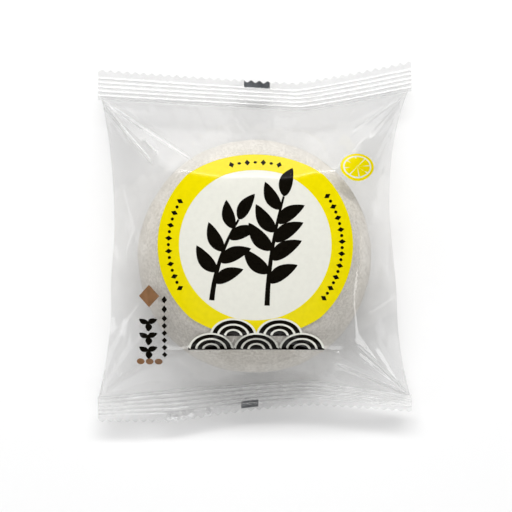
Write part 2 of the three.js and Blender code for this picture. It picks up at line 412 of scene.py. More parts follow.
def crease_highlights(x, y):
    """Painted highlight lines: white haze along the film's sharp creases, from 0 on plain film."""
    total = np.zeros_like(x)
    for c in LONG_CREASES:
        t, off = crease_place(c, x, y)
        off = (off - HIGHLIGHT_PLACE * c.width * c.lit) / c.spread
        taper = smoothstep(0.0, HIGHLIGHT_UP, t) * (1 - smoothstep(HIGHLIGHT_FADE, HIGHLIGHT_END, t))
        total = np.maximum(total, c.white * np.exp(-off * off) * taper)
    return total


# Starch on the film: the ring's radius and spread, its haze, its gain towards the upper seal, and
# the clouds in it: their mean, strength, least and most
DUST_RADIUS, DUST_SPREAD, DUST_HAZE = 34.5, 5.0, 0.26
DUST_GAIN, DUST_GAIN_REACH, DUST_GAIN_LEAST = 0.2, 30, -0.2
CLOUD_MEAN, CLOUD_STRENGTH, CLOUD_RANGE = 0.8, 0.7, (0.1, 1.2)


def starch_dust(x, y):
    """Starch from the cake that clings to the film in a ring above the cake's edge, in clouds."""
    upward = np.clip((y - CAKE_Y) / DUST_GAIN_REACH, DUST_GAIN_LEAST, 1)
    ring = np.exp(-(((plan_reach(x, y) - DUST_RADIUS) / DUST_SPREAD) ** 2)) * (1 + DUST_GAIN * upward)
    clouds = noise_over(x, y, scale=9.0, seed=15) + 0.6 * noise_over(x, y, scale=3.5, seed=16)
    return DUST_HAZE * ring * np.clip(CLOUD_MEAN + CLOUD_STRENGTH * clouds, *CLOUD_RANGE)


# Dents of slack film: the height, the size and the seed of each layer
FRONT_DENTS = [(0.24, 13.0, 1), (0.08, 5.0, 2)]
BACK_DENTS = [(0.30, 10.0, 5), (0.10, 4.0, 6)]
DENT_BLUNTNESS, DENT_LEVEL = 0.12, 0.4


def dents(x, y, layers):
    """Ridged noise: soft dents that meet in creases, as slack film has."""
    total = 0
    for height, scale, seed in layers:
        values = noise_over(x, y, scale, seed)
        ridges = [1 - 2 * math.hypot(value, DENT_BLUNTNESS) for value in values.ravel()]
        total = total + height * (np.array(ridges).reshape(x.shape) - DENT_LEVEL)
    return total


def pull_taut(points):
    """Lifts each ray of the upper film to its convex outline, as film lies when pulled over a cake."""
    reach = plan_reach(points[..., 0], points[..., 1])
    for ray in range(points.shape[1]):
        far, z = reach[:, ray], points[:, ray, 2]
        hull = []
        for k in range(len(far)):
            while len(hull) > 1:
                a, b = hull[-2], hull[-1]
                if (z[b] - z[a]) * (far[a] - far[k]) > (z[k] - z[a]) * (far[a] - far[b]):
                    break
                hull.pop()
            hull.append(k)
        points[:, ray, 2] = np.interp(-far, -far[hull], z[hull])
    return points


def relax(points, passes, weight):
    """Rounds the bends along every ray; weight is a ring's share of the change."""
    for _ in range(passes):
        middle = 0.25 * points[:-2] + 0.5 * points[1:-1] + 0.25 * points[2:]
        points[1:-1] = lerp(points[1:-1], middle, weight[1:-1, None, None])
    return points


# Rounding of the shoulder: the rings that it spans either way, and its passes
BEND_RINGS, BEND_PASSES = 7.0, 18

# Slack of the upper film: the rings from the outline over which it grows, the rings round the
# shoulder over which it falls, its share on the crown, and how far from the cake it is full
SLACK_RINGS, SLACK_BEFORE, SLACK_AFTER = 9, 14, 10
CROWN_SLACK = 0.10
SLACK_DISTANCE = 3.0

# The same for the lower film, from the outline to the patch on the table
BACK_SLACK_RINGS, BACK_SLACK_FALLS, BACK_SLACK_ENDS = 6, UNDER_RINGS - 8, UNDER_RINGS - 1


def front_rings(angles, edges):
    """Points of the upper film, ring by ring from the outline in."""
    radius = shoulder_radius(angles)
    shoulder = polar(angles, radius, crown_height(radius))
    rings = [lerp(edges, shoulder, k / FACET_RINGS) for k in range(FACET_RINGS)]
    for k in range(CROWN_RINGS):
        inner = radius * (1 - k / CROWN_RINGS)
        rings.append(polar(angles, inner, crown_height(inner)))
    points = np.array(rings)
    ring = np.arange(len(points))
    near_bend = np.exp(-(((ring - FACET_RINGS) / BEND_RINGS) ** 2))
    points = pull_taut(clear_of_cake(relax(points, BEND_PASSES, near_bend), upper=True))
    on_crown = smoothstep(FACET_RINGS - SLACK_BEFORE, FACET_RINGS + SLACK_AFTER, ring)
    slack = (smoothstep(0, SLACK_RINGS, ring) * lerp(1.0, CROWN_SLACK, on_crown))[:, None]
    slack = slack * smoothstep(0.0, SLACK_DISTANCE, distance_from_cake(points))
    x, y = points[..., 0], points[..., 1]
    pleats = seal_pleats("top") + seal_pleats("bottom")
    lift = crease_heights(x, y, LONG_CREASES + corner_creases() + pleats) + dents(x, y, FRONT_DENTS)
    points[..., 2] += lift * slack
    return clear_of_cake(points, upper=True)


def back_rings(angles, edges):
    """Points of the lower film, ring by ring from the outline in to the patch on the table."""
    patch = polar(angles, CONTACT_RADIUS, FILM_LIFT)
    rings = [lerp(edges, patch, k / UNDER_RINGS) for k in range(1, UNDER_RINGS + 1)]
    for k in range(1, PATCH_RINGS):
        rings.append(polar(angles, CONTACT_RADIUS * (1 - k / PATCH_RINGS), FILM_LIFT))
    points = np.array(rings)
    ring = np.arange(len(points))
    slack = smoothstep(0, BACK_SLACK_RINGS, ring)
    slack = slack * (1 - smoothstep(BACK_SLACK_FALLS, BACK_SLACK_ENDS, ring))
    points[..., 2] += dents(points[..., 0], points[..., 1], BACK_DENTS) * slack[:, None]
    points = clear_of_cake(points, upper=False)
    points[..., 2] = np.maximum(points[..., 2], FILM_LIFT)
    return points


# A painted highlight: white haze of the upper film beside a seal, along its join, and the rings
# over which it ends
JOIN_HIGHLIGHT, JOIN_HIGHLIGHT_RINGS = 0.5, (1, 3)


def film_bag():
    """The tube of film between the seals, as one closed skin."""
    angles, edges = film_rays()
    front, back = front_rings(angles, edges)[::-1], back_rings(angles, edges)
    rings = np.concatenate([front, back])
    around = len(angles)
    last = 1 + len(rings) * around
    top, bottom = [CAKE_X, CAKE_Y, CROWN_HEIGHT], [CAKE_X, CAKE_Y, FILM_LIFT]
    points = np.concatenate([[top], rings.reshape(-1, 3), [bottom]])
    piece = make_mesh("film_bag", points, skin_faces(len(rings), around, 1, 0, last))
    x, y = front[..., 0], front[..., 1]
    at_seal = np.abs(edges[:, 1]) > SEAL_EDGE_Y
    from_seal = np.arange(len(front))[::-1]
    join_highlight = JOIN_HIGHLIGHT * at_seal * (1 - smoothstep(*JOIN_HIGHLIGHT_RINGS, from_seal))[:, None]
    # The upper film's haze: starch dust, and painted highlights along the sharp creases and the joins
    haze = np.maximum(np.maximum(crease_highlights(x, y), starch_dust(x, y)), join_highlight)
    store_haze(piece, np.concatenate([[0.0], haze.ravel(), np.zeros(len(back) * around + 1)]))
    return piece


# Seals: the plain lip as a share of the depth, the ribs, the teeth, the mesh's points along a tooth,
# over the lip and over a rib, how far a seal reaches into the bag, and the gap between its layers
LIP_SHARE = 1.8 / SEAL_DEPTH
RIB_COUNT, RIB_RELIEF, RIB_SHARPNESS, RIB_MOST = 5, 0.17, 3.6, 1.2
TOOTH_PITCH, TOOTH_SHARE = 2.4, 0.75 / SEAL_DEPTH
TOOTH_COLUMNS, LIP_ROWS, RIB_ROWS = 10, 5, 10
SEAL_OVERLAP = 1.05
LAYER_GAP = 0.06

# Strength of the ribs and its variation, and more of both near the middle of the bottom seal
RIB_STRENGTH, RIB_VARIATION = 0.9, 0.35
ROUGH_X, ROUGH_SPREAD, ROUGH_GAIN = 2, 11, 0.7

# Small pinches in the lip of the bottom seal: x, share of its depth, height
PINCHES = [
    (-24.6, 0.16, 0.45), (-22.6, 0.13, 0.5), (-20.4, 0.15, 0.45), (-18.4, 0.2, 0.35),
    (-13.4, 0.16, 0.45),
]
# A pinch's radius, and the white haze it gets per millimetre of its height: a painted glint
PINCH_RADIUS, PINCH_GLINT = 0.8, 3

# A seal curls towards its cut edge, in a regular and an irregular wave, and is a little uneven
CURL_HEIGHT, CURL_LENGTH, CURL_VARIATION = 0.5, 11.0, 0.4
SEAL_UNEVENNESS = 0.04


def tooth_share(x):
    """Where the zigzag cut runs, as a share of the seal's depth either side of its mean line."""
    phase = (x - SIDES["left"]["corner"]) / TOOTH_PITCH
    return TOOTH_SHARE / 2 * math.cos(2 * math.pi * phase)


def ridge_strength(end, x, share):
    """How far a point of a seal is up a pressed rib, from 0 between ribs to about 1 on one."""
    rib = (share - LIP_SHARE) / (1 - LIP_SHARE) * RIB_COUNT
    if not 0 < rib < RIB_COUNT:
        return 0.0
    number = math.floor(rib)
    variation = value_noise(x, 4 * number + ENDS[end]["outward"], scale=7.0, seed=9)
    strength = RIB_STRENGTH + RIB_VARIATION * variation
    if end == "bottom":
        rough = ROUGH_GAIN * math.exp(-(((x - ROUGH_X) / ROUGH_SPREAD) ** 2))
        strength += rough * (1 + value_noise(x, 3 * number, scale=2.5, seed=10))
    return strength * math.exp(-((RIB_SHARPNESS * (rib % 1 - 0.5)) ** 2))


def pinch_height(end, x, share):
    """Height of the small pinches, which only the bottom seal has."""
    height = 0.0
    if end == "bottom":
        for pinch_x, pinch_share, size in PINCHES:
            away = math.hypot(x - pinch_x, (share - pinch_share) * SEAL_DEPTH)
            height += size * math.exp(-((away / PINCH_RADIUS) ** 2))
    return height


def seal_skin(end, x, share):
    """A point of a crimped seal: pressed ribs that run along it, in a strip that curls a little."""
    point = seal_point(end, x, share)
    curl = CURL_HEIGHT * math.sin(x / CURL_LENGTH + ENDS[end]["outward"])
    curl += CURL_VARIATION * value_noise(x, 0, scale=14.0, seed=4)
    relief = RIB_RELIEF * min(RIB_MOST, ridge_strength(end, x, share))
    relief += SEAL_UNEVENNESS * value_noise(x, 6 * share, scale=3.0, seed=8)
    point[2] += (1 - share) * curl
    point[2] += relief
    point[2] += pinch_height(end, x, share)
    return point


def film_seal(end):
    """A crimped end seal: two layers of film pressed together, cut in a zigzag."""
    left, right = SIDES["left"]["corner"], SIDES["right"]["corner"]
    columns, rib_rows = TOOTH_COLUMNS * round((right - left) / TOOTH_PITCH), RIB_ROWS * RIB_COUNT
    upper, haze = [], []
    for i in range(columns + 1):
        x = lerp(left, right, i / columns)
        shares = [lerp(tooth_share(x), LIP_SHARE, k / LIP_ROWS) for k in range(LIP_ROWS)]
        shares += [lerp(LIP_SHARE, SEAL_OVERLAP, k / rib_rows) for k in range(rib_rows + 1)]
        upper.append([seal_skin(end, x, share) for share in shares])
        # The seal's haze: its ribs are whitened, partly as crimping whitens film and partly as painted
        # highlight lines, and its pinches carry painted glints
        ridges = [
            ridge_strength(end, x, share) + PINCH_GLINT * pinch_height(end, x, share)
            for share in shares
        ]
        haze += ridges + ridges[::-1]
    upper = np.array(upper)
    lower = upper.copy()
    upper[..., 2] += LAYER_GAP / 2
    lower[..., 2] -= LAYER_GAP / 2
    loops = np.concatenate([upper, lower[:, ::-1]], axis=1)
    rows = upper.shape[1]
    around = 2 * rows
    faces = []
    for i in range(columns):
        here, there = i * around, (i + 1) * around
        for j in range(around):
            k = (j + 1) % around
            faces.append((here + j, here + k, there + k, there + j))
    for i in (0, columns):
        here, there = i * around, (i + 1) * around
        for j in range(rows - 1):
            faces.append((here + j, here + j + 1, there - 2 - j, there - 1 - j))
    piece = make_mesh(f"film_seal_{end}", loops.reshape(-1, 3), faces)
    store_haze(piece, haze)
    bm = bmesh.new()
    bm.from_mesh(piece.data)
    bmesh.ops.recalc_face_normals(bm, faces=bm.faces)
    bm.to_mesh(piece.data)
    bm.free()
    return piece


# The back fin: its middle and width, its mesh, how far its ends are inside the cut edges, how it
# wavers and ripples, and its gaps below the film, below the seals and above the table
FIN_X, FIN_WIDTH = -0.5, 12.0
FIN_ROWS, FIN_COLUMNS = 220, 16
FIN_END = 1.0
FIN_WAVER, FIN_RIPPLE = 0.35, 0.10
FIN_GAP, FIN_SEAL_GAP, FIN_LEAST = 0.10, 0.3, 0.02
RAY_START = 0.1


def height_over(tree, x, y, downward=True):
    """Height in millimetres of a piece at a point of the plan, seen from above or from below."""
    start = Vector((x * MM, y * MM, RAY_START if downward else -RAY_START))
    hit = tree.ray_cast(start, Vector((0, 0, -1 if downward else 1)))[0]
    return None if hit is None else hit.z / MM


def film_fin(bag_tree):
    """The back seal: a strip of doubled film that lies folded against the back."""
    low = line_y("bottom", "cut", FIN_X) + FIN_END
    high = line_y("top", "cut", FIN_X) - FIN_END
    points = []
    for i in range(FIN_ROWS + 1):
        y = lerp(low, high, i / FIN_ROWS)
        middle = FIN_WAVER * value_noise(y, 0, scale=16.0, seed=3)
        for j in range(FIN_COLUMNS + 1):
            x = FIN_X + FIN_WIDTH * (j / FIN_COLUMNS - 0.5) + middle
            z = height_over(bag_tree, x, y, downward=False)
            if z is None:
                end = "top" if y > 0 else "bottom"
                cut, film = line_y(end, "cut", x), line_y(end, "film", x)
                z = seal_point(end, x, (y - cut) / (film - cut))[2] - FIN_SEAL_GAP
            ripple = FIN_RIPPLE * max(0.0, value_noise(x, y, scale=5.0, seed=12)) if z > 1 else 0.0
            points.append([x, y, max(FIN_LEAST, z - FIN_GAP - ripple)])
    return make_mesh("film_fin", points, grid_faces(FIN_ROWS, FIN_COLUMNS))


# The cake's mesh: points around, and rings above the waist, below it and across the foot
CAKE_AROUND, DOME_RINGS, BELLY_RINGS, FOOT_RINGS = 240, 70, 50, 5
BELLY_SPACING = 0.8

# Its rim is a little inside its plain form, its top a little lower, and its foot above the film
RIM_INSET, TOP_SETTLE = 0.5, 0.2
CAKE_LIFT = FILM_LIFT + 0.06
FOOT_HEIGHT = 0.6

# Unevenness of the rim, as sizes, waves per radius and heights of a wave, and then of the top
RIM_WOBBLES = [(0.45, 1.6, 16), (0.18, 6, 5)]
TOP_WOBBLE, TOP_WAVES = 0.22, 3.1

# The cake fills the film where that bends over it, from one share of the radius to another
FILL_SHARE, FILL_GAP = 0.85, 0.35
FILL_FROM, FILL_TO = (0.4, 0.6), (0.74, 0.93)


def cake_rows():
    """The rings of the cake: reach and rise as shares, and the height of that rise."""
    power = 2 / CAKE_FULLNESS
    belly_curve = CAKE_WAIST / CAKE_BELLY
    foot = (1 - belly_curve ** CAKE_FULLNESS) ** (1 / CAKE_FULLNESS)
    rows = []
    for k in range(1, DOME_RINGS + 1):
        a = k / DOME_RINGS * math.pi / 2
        rows.append((math.sin(a) ** power, math.cos(a) ** power, CAKE_DOME))
    for k in range(1, BELLY_RINGS + 1):
        z = -belly_curve * (k / BELLY_RINGS) ** BELLY_SPACING
        rows.append(((1 - (-z) ** CAKE_FULLNESS) ** (1 / CAKE_FULLNESS), z, CAKE_BELLY))
    for k in range(1, FOOT_RINGS):
        rows.append((foot * (1 - k / FOOT_RINGS), -belly_curve, CAKE_BELLY))
    return rows


def rice_cake(bag_tree):
    """A soft disc: domed, a little uneven, and full against the film where that bends over it."""
    rows = cake_rows()
    points = []
    for reach, rise, scale in rows:
        z = CAKE_WAIST + rise * scale
        full = 0
        if rise > 0:
            full = FILL_SHARE * smoothstep(*FILL_FROM, reach) * (1 - smoothstep(*FILL_TO, reach))
        for i in range(CAKE_AROUND):
            angle = 2 * math.pi * i / CAKE_AROUND
            x, y = math.cos(angle) * reach, math.sin(angle) * reach
            wobble = sum(
                size * noise.noise(Vector((x * waves, y * waves, z / tall)))
                for size, waves, tall in RIM_WOBBLES
            )
            grow = CAKE_RADIUS - RIM_INSET + wobble
            settle = 0.0
            if z >= FOOT_HEIGHT:
                bumps = noise.noise(Vector((x * TOP_WAVES + 5, y * TOP_WAVES, 1.0)))
                settle = TOP_WOBBLE * bumps - TOP_SETTLE
            px, py, pz = CAKE_X + x * grow, CAKE_Y + y * grow, max(z + settle, CAKE_LIFT)
            if full > 0:
                pz = lerp(pz, height_over(bag_tree, px, py) - FILL_GAP, full)
            points.append([px, py, pz])
    first, last = len(points), len(points) + 1
    points.append([CAKE_X, CAKE_Y, CAKE_WAIST + CAKE_DOME - TOP_SETTLE])
    points.append([CAKE_X, CAKE_Y, CAKE_LIFT])
    return make_mesh("rice_cake", points, skin_faces(len(rows), CAKE_AROUND, 0, first, last))


# Print, drawn flat in millimetres and laid on the film. What is past its bends is shortened, as it
# is seen from above.
BEND_TOP, BEND_BOTTOM, BEND_SHARE = 18.7, -21.5, 0.76
ROW_SHARE = 0.87


def onto_slope(y):
    """Where a y of the flat drawing comes to lie."""
    if y > BEND_TOP:
        return BEND_TOP + (y - BEND_TOP) * BEND_SHARE
    if y < BEND_BOTTOM:
        return BEND_BOTTOM + (y - BEND_BOTTOM) * BEND_SHARE
    return y


def inside(x, y, loops):
    """Whether a point is in an odd number of closed loops."""
    odd = False
    for loop in loops:
        for (x0, y0), (x1, y1) in zip(loop, loop[1:] + loop[:1]):
            if (y0 > y) != (y1 > y) and x < x0 + (y - y0) * (x1 - x0) / (y1 - y0):
                odd = not odd
    return odd


def fill(loops, spacing):
    """Triangles that fill the even-odd inside of closed loops, with points about spacing apart."""
    points, edges = [], []
    for loop in loops:
        base = len(points)
        points += loop
        edges += [(base + k, base + (k + 1) % len(loop)) for k in range(len(loop))]
    xs, ys = [p[0] for p in points], [p[1] for p in points]
    columns = int((max(xs) - min(xs)) / spacing)
    rows = int((max(ys) - min(ys)) / (spacing * ROW_SHARE))
    for r in range(rows):
        for c in range(columns):
            x = min(xs) + (c + 0.5 + 0.5 * (r % 2)) * spacing
            y = min(ys) + (r + 0.5) * spacing * ROW_SHARE
            if inside(x, y, loops):
                points.append((x, y))
    verts, _, faces, _, _, _ = geometry.delaunay_2d_cdt([Vector(p) for p in points], edges, [], 0, 1e-5)
    kept = []
    for f in faces:
        cx = sum(verts[i].x for i in f) / len(f)
        cy = sum(verts[i].y for i in f) / len(f)
        if inside(cx, cy, loops):
            kept.append(tuple(f))
    return [(v.x, v.y) for v in verts], kept


def print_piece(name, shapes, tree, lift, spacing):
    """Ink on the film: each shape is a list of loops, and lift is its height above the film."""
    points, faces = [], []
    for loops in shapes:
        flat, tris = fill(loops, spacing)
        base = len(points)
        for x, y in flat:
            py = onto_slope(y)
            points.append([x, py, height_over(tree, x, py) + lift])
        faces += [tuple(base + i for i in f) for f in tris]
    piece = make_mesh(name, points, faces)
    for polygon in piece.data.polygons:
        if polygon.normal.z < 0:
            polygon.flip()
    return piece


# Shapes of the print, each a list of closed loops

def circle(x, y, radius, steps=48, start=0.0, stop=360.0):
    """Points of a circle, or of an arc without its last point."""
    angles = [math.radians(lerp(start, stop, k / steps)) for k in range(steps)]
    return [(x + radius * math.cos(a), y + radius * math.sin(a)) for a in angles]


def lozenge(x, y, half_width, half_height):
    return [(x, y + half_height), (x + half_width, y), (x, y - half_height), (x - half_width, y)]


# Leaves and stems: their steps, a leaf's roundness and curve, a stem's half-widths, the places and
# leans of its lowest and highest leaf, a leaf's width and the size of the leaf at the tip
LEAF_STEPS, SPINE_STEPS = 14, 24
LEAF_ROUNDNESS, LEAF_CURVE = 0.8, 0.06
STEM_WIDTHS = (0.75, 0.3)
LEAF_PLACES, LEAF_LEANS = (0.22, 0.86), (58, 40)
LEAF_WIDTH, TIP_LENGTH, TIP_WIDTH = 0.42, 0.95, 0.4


def leaf(x, y, length, width, heading):
    """A pointed leaf from its foot, along heading in degrees."""
    a = math.radians(heading)
    loop = []
    for side in (1, -1):
        for k in range(LEAF_STEPS):
            t = k / LEAF_STEPS if side == 1 else 1 - k / LEAF_STEPS
            half = side * width / 2 * math.sin(math.pi * t ** LEAF_ROUNDNESS) ** LEAF_ROUNDNESS
            half += LEAF_CURVE * length * math.sin(math.pi * t)
            px = x + math.cos(a) * t * length - math.sin(a) * half
            py = y + math.sin(a) * t * length + math.cos(a) * half
            loop.append((px, py))
    return loop


def sprig(x, y, bend, length, heading, leaves, size):
    """A tapering curved stem with leaves in turn on its two sides and one at the tip."""
    spine = []
    angle = math.radians(heading)
    for k in range(SPINE_STEPS + 1):
        spine.append((x, y, math.degrees(angle), k / SPINE_STEPS))
        x += math.cos(angle) * length / SPINE_STEPS
        y += math.sin(angle) * length / SPINE_STEPS
        angle += math.radians(bend) / SPINE_STEPS
    stem = []
    for side in (1, -1):
        for px, py, deg, t in (spine if side == 1 else spine[::-1]):
            half = side * lerp(*STEM_WIDTHS, t)
            a = math.radians(deg)
            stem.append((px - math.sin(a) * half, py + math.cos(a) * half))
    shapes = [[stem]]
    for k in range(leaves):
        t = lerp(*LEAF_PLACES, k / (leaves - 1))
        px, py, deg, _ = spine[round(t * SPINE_STEPS)]
        side = 1 if k % 2 else -1
        reach = size * (1.08 - 0.35 * abs(t - 0.45))
        heading = deg + side * lerp(*LEAF_LEANS, t)
        shapes.append([leaf(px, py, reach, reach * LEAF_WIDTH, heading)])
    px, py, deg, _ = spine[-1]
    shapes.append([leaf(px, py, size * TIP_LENGTH, size * TIP_WIDTH, deg)])
    return shapes


RING_X, RING_Y = 0.2, -0.9
MARK_RADIUS = 24.4
SLICE = (29.1, 22.0)
SLICE_FLESH = 3.7


def arc_marks(start, stop, count, length):
    """A row of small lozenges and dots in turn round the ring."""
    marks = []
    for k in range(count):
        a = math.radians(lerp(start, stop, k / (count - 1)))
        x, y = RING_X + MARK_RADIUS * math.cos(a), RING_Y + MARK_RADIUS * math.sin(a)
        if k % 2:
            marks.append([circle(x, y, length * 0.22, 12)])
        else:
            out_x, out_y = math.cos(a) * length / 2, math.sin(a) * length / 2
            along_x, along_y = -math.sin(a) * length / 3, math.cos(a) * length / 3
            marks.append([[(x + out_x, y + out_y), (x + along_x, y + along_y),
                           (x - out_x, y - out_y), (x - along_x, y - along_y)]])
    return marks


def crescent(x, y, outer, inner, lean):
    """A band of a wave scallop: the upper half of a ring, cut off level at its foot."""
    stop = 180 - lean
    return [circle(x, y, outer, 36, lean, stop) + circle(x, y, inner, 36, stop, lean)]


def wave_row(xs, y, radius):
    """Black wave scallops in a row, and the white bands on them."""
    hills = [[circle(x, y, radius, 44, 0, 180) + [(x - radius, y)]] for x in xs]
    bands = []
    for x in xs:
        for outer, inner in ((1.0, 0.9), (0.7, 0.6), (0.4, 0.3)):
            bands.append(crescent(x, y, radius * outer, radius * inner, 3))
    return hills, bands


def slice_lines():
    """The rim and the eight spokes of a round slice."""
    lines = []
    for k in range(8):
        a = 45 * k + 8
        lines.append([circle(*SLICE, SLICE_FLESH, 3, a - 2.5, a + 5) + [SLICE]])
    lines.append([circle(*SLICE, 4.1, 40), circle(*SLICE, SLICE_FLESH, 40)])
    return lines


def side_marks():
    """Three leaf marks in a column, and a column of lozenges beside them."""
    marks = []
    for k in range(3):
        marks += [[leaf(-30.1, -23.6 - 5.2 * k, 3.1, 2.0, heading)] for heading in (30, 150, 270)]
    return marks + [[lozenge(-25.4, -16.4 - 2.7 * k, 0.8, 1.1)] for k in range(8)]


# Materials

HAZE_COLOUR = (0.93, 0.93, 0.93, 1)


def new_material(name):
    """An empty material, its node tree and its output."""
    material = bpy.data.materials.new(name)
    material.use_nodes = True
    tree = material.node_tree
    tree.nodes.clear()
    return material, tree, add_node(tree, "OutputMaterial")


def add_node(tree, kind, values=None):
    """A new node, with values for its inputs by name or number."""
    node = tree.nodes.new("ShaderNode" + kind)
    for name, value in (values or {}).items():
        node.inputs[name].default_value = value
    return node


def add_noise(tree, coords, scale, detail=2):
    texture = add_node(tree, "TexNoise", {"Scale": scale, "Detail": detail})
    tree.links.new(coords.outputs["Object"], texture.inputs["Vector"])
    return texture


def add_bump(tree, height, shader, strength, distance):
    """Fine relief on a shader's surface, from a node's output; distance is in metres."""
    bump = add_node(tree, "Bump", {"Strength": strength, "Distance": distance})
    tree.links.new(height, bump.inputs["Height"])
    tree.links.new(bump.outputs["Normal"], shader.inputs["Normal"])


def add_mix(tree, share, first, second):
    """A mix of two shaders, by a node's output."""
    mix = add_node(tree, "MixShader")
    tree.links.new(share, mix.inputs["Fac"])
    tree.links.new(first.outputs[0], mix.inputs[1])
    tree.links.new(second.outputs[0], mix.inputs[2])
    return mix


def add_ramp(tree, *stops):
    """A colour ramp between two stops, each a place and a colour."""
    ramp = add_node(tree, "ValToRGB")
    for element, (place, colour) in zip(ramp.color_ramp.elements, stops):
        element.position = place
        element.color = (*colour, 1)
    return ramp


def film_material(name, tint, haze, gloss, roughness, mark=None):
    """Thin clear film: it passes light straight, mirrors more at a slant and scatters a little.

    Where its points carry the value haze, mark adds to its haze, gloss and roughness.
    """
    material, tree, output = new_material(name)
    link = tree.links.new
    clear = add_node(tree, "BsdfTransparent", {"Color": (tint, tint, tint, 1)})
    scatter = add_node(tree, "MixShader", {"Fac": 0.5})
    for k, kind in enumerate(("BsdfDiffuse", "BsdfTranslucent")):
        half = add_node(tree, kind, {"Color": HAZE_COLOUR})
        link(half.outputs[0], scatter.inputs[k + 1])
    mirror = add_node(tree, "BsdfGlossy", {"Roughness": roughness})
    coords = add_node(tree, "TexCoord")
    cloud = add_noise(tree, coords, scale=90, detail=5)
    haze_share = add_node(tree, "MapRange", {
        "From Min": 0.35, "From Max": 0.7, "To Min": haze * 0.6, "To Max": haze * 1.5,
    })
    link(cloud.outputs["Fac"], haze_share.inputs["Value"])
    body = add_mix(tree, haze_share.outputs["Result"], clear, scatter)
    slant = add_node(tree, "LayerWeight", {"Blend": 0.5})
    power = add_node(tree, "Math", {1: 5})
    power.operation = "POWER"
    link(slant.outputs["Facing"], power.inputs[0])
    gloss_share = add_node(tree, "MapRange", {"To Min": gloss, "To Max": 1.0})
    link(power.outputs[0], gloss_share.inputs["Value"])
    fine = add_noise(tree, coords, scale=400)
    add_bump(tree, fine.outputs["Fac"], mirror, strength=0.06, distance=0.0004)
    skin = add_mix(tree, gloss_share.outputs["Result"], body, mirror)
    if mark:
        marked = add_node(tree, "Attribute")
        marked.attribute_name = "haze"
        mirror.inputs["Roughness"].default_value = 0.0
        plain = add_node(tree, "Value")
        plain.outputs[0].default_value = roughness
        sources = (haze_share.outputs["Result"], gloss_share.outputs["Result"], plain.outputs[0])
        targets = (body.inputs["Fac"], skin.inputs["Fac"], mirror.inputs["Roughness"])
        for gain, source, target in zip(mark, sources, targets):
            more = add_node(tree, "Math", {1: gain})
            more.operation = "MULTIPLY_ADD"
            more.use_clamp = True
            link(marked.outputs["Fac"], more.inputs[0])
            link(source, more.inputs[2])
            link(more.outputs[0], target)
    link(skin.outputs[0], output.inputs["Surface"])
    return material


def cake_material():
    """Soft rice dough dusted with starch: pale, matt and finely mottled."""
    material, tree, output = new_material("rice_dough")
    link = tree.links.new
    shader = add_node(tree, "BsdfPrincipled", {"Roughness": 0.85})
    coords = add_node(tree, "TexCoord")
    cloud = add_noise(tree, coords, scale=220, detail=4)
    grain = add_noise(tree, coords, scale=1400)
    tone = add_ramp(tree, (0.38, (0.65, 0.61, 0.545)), (0.62, (0.84, 0.80, 0.73)))
    mix = add_node(tree, "Mix", {"Factor": 0.75})
    link(cloud.outputs["Fac"], mix.inputs["A"])
    link(grain.outputs["Fac"], mix.inputs["B"])
    link(mix.outputs["Result"], tone.inputs["Fac"])
    link(tone.outputs["Color"], shader.inputs["Base Color"])
    add_bump(tree, mix.outputs["Result"], shader, strength=0.3, distance=0.0002)
    link(shader.outputs[0], output.inputs["Surface"])
    return material


def ink_material(name, colour, variation, shine=0.5):
    """Printed ink: one colour with a slight unevenness of coverage."""
    material, tree, output = new_material(name)
    link = tree.links.new
    shader = add_node(tree, "BsdfPrincipled", {"Roughness": 0.12, "Specular IOR Level": shine})
    coords = add_node(tree, "TexCoord")
    cover = add_noise(tree, coords, scale=700, detail=4)
    tone = add_ramp(tree, (0.3, [c * (1 - variation) for c in colour]), (0.62, colour))
    link(cover.outputs["Fac"], tone.inputs["Fac"])
    link(tone.outputs["Color"], shader.inputs["Base Color"])
    link(shader.outputs[0], output.inputs["Surface"])
    return material


def floor_material():
    material, tree, output = new_material("floor_paint")
    paint = add_node(tree, "BsdfDiffuse", {"Color": (0.9, 0.9, 0.9, 1)})
    tree.links.new(paint.outputs[0], output.inputs["Surface"])
    return material


# Films: tint, haze, gloss and roughness, and what full haze of a point adds to the last three
bag_film = film_material("clear_film", 0.976, 0.06, 0.08, 0.06, mark=(0.4, 0.05, 0.3))
# The two seals are one film: the lower copy is hazier, so it shows lighter over its shadow and casts a
# deeper one, and the upper copy is clearer, so its shadow stays faint. This is painted light and shade.
seal_films = {
    "top": film_material("crimped_film", 0.985, 0.05, 0.07, 0.12, mark=(0.22, 0.10, 0.2)),
    "bottom": film_material("crimped_film_lower_copy", 0.985, 0.2, 0.035, 0.12, mark=(0.08, 0.13, 0.1)),
}
fin_film = film_material("fin_film", 0.995, 0.01, 0.015, 0.15)
inks = {
    "yellow": ink_material("yellow_ink", (0.78, 0.655, 0.0005), 0.06),
    "white": ink_material("white_ink", (0.74, 0.735, 0.665), 0.04),
    "black": ink_material("black_ink", (0.005, 0.004, 0.0025), 0.3, shine=0.12),
    "tan": ink_material("tan_ink", (0.28, 0.145, 0.07), 0.2),
    "mark": ink_material("eye_mark_ink", (0.10, 0.108, 0.118), 0.4),
}

# The film and the cake

bag = film_bag()
bag_tree = BVHTree.FromObject(bag, bpy.context.evaluated_depsgraph_get())
finish_piece(bag, bag_film)
finish_piece(rice_cake(bag_tree), cake_material())
finish_piece(film_fin(bag_tree), fin_film)
for end in ENDS:
    finish_piece(film_seal(end), seal_films[end])

# The print: name, shapes, ink, height above the film and spacing of its points

